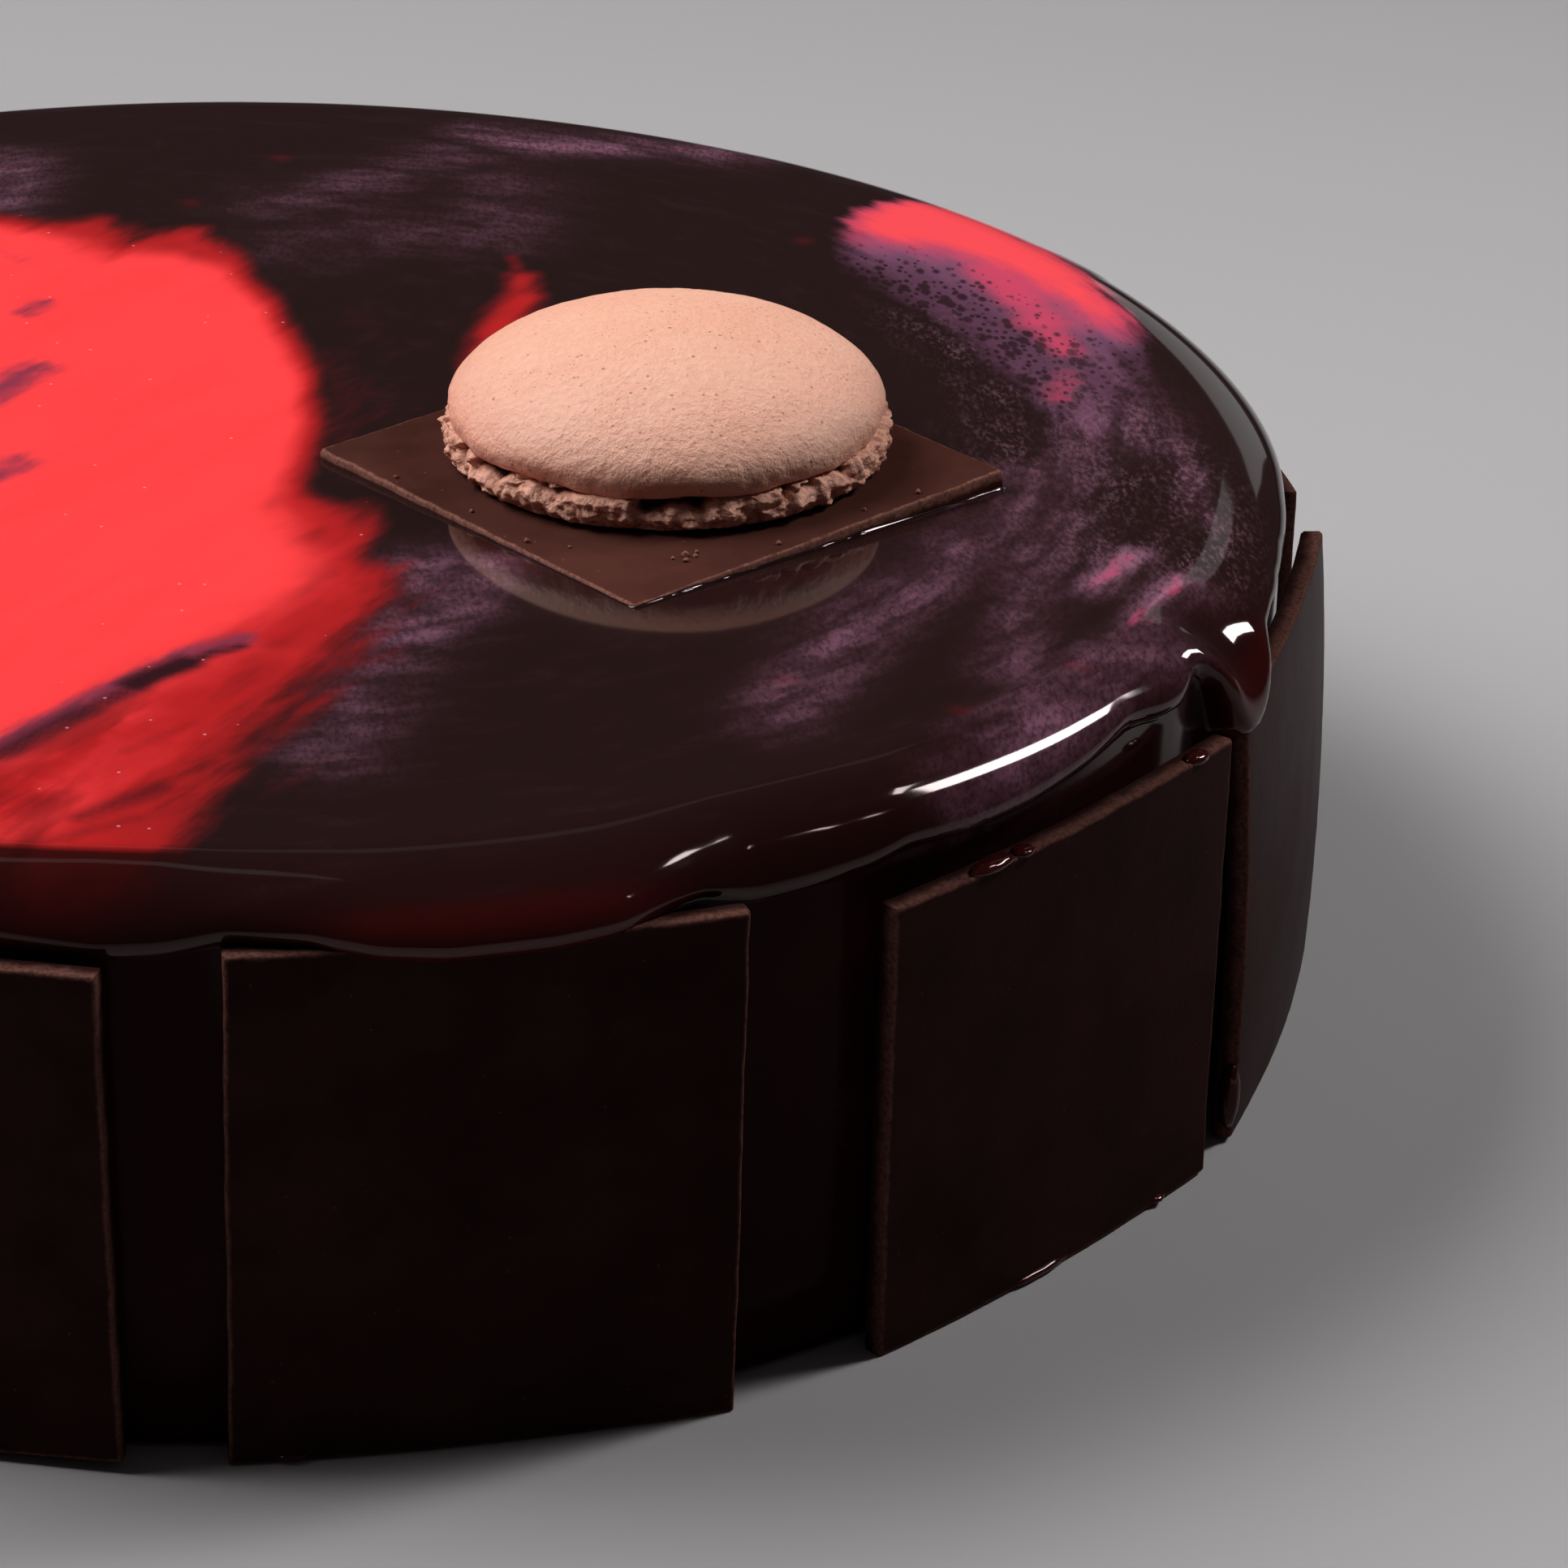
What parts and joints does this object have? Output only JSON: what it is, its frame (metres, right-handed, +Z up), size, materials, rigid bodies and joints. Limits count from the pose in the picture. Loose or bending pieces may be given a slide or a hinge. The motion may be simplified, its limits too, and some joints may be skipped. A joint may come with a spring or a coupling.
{
  "type": "chocolate mousse cake",
  "caption": "Round dark chocolate cake under a marbled mirror glaze, with thin chocolate plaques standing round its side and a macaron shell on a square chocolate tile.",
  "frame": {"origin": "centre of the cake's round base, on the surface that it stands on", "axes": "+Z up; -Y is the front that the picture shows nearest, and +X is to its right, where the macaron shell lies"},
  "size_m": [0.2075, 0.2062, 0.066],
  "materials": {
    "glaze": "mirror-gloss dark chocolate glaze, marbled in places with red and mauve",
    "chocolate": "satin dark chocolate, paler along its edges",
    "cake": "matt dark chocolate cake, seen only from below",
    "macaron": "matt pale pinkish-brown almond shell with a craggy foot"
  },
  "bodies": {
    "root": {"cake_body": "cake", "mirror_glaze": "glaze", "side_plaque_01": "chocolate", "side_plaque_02": "chocolate", "side_plaque_03": "chocolate", "side_plaque_04": "chocolate", "side_plaque_05": "chocolate", "side_plaque_06": "chocolate", "side_plaque_07": "chocolate", "side_plaque_08": "chocolate", "side_plaque_09": "chocolate", "side_plaque_10": "chocolate", "side_plaque_11": "chocolate", "side_plaque_12": "chocolate", "top_tile": "chocolate", "macaron_shell": "macaron"}
  },
  "joints": []
}
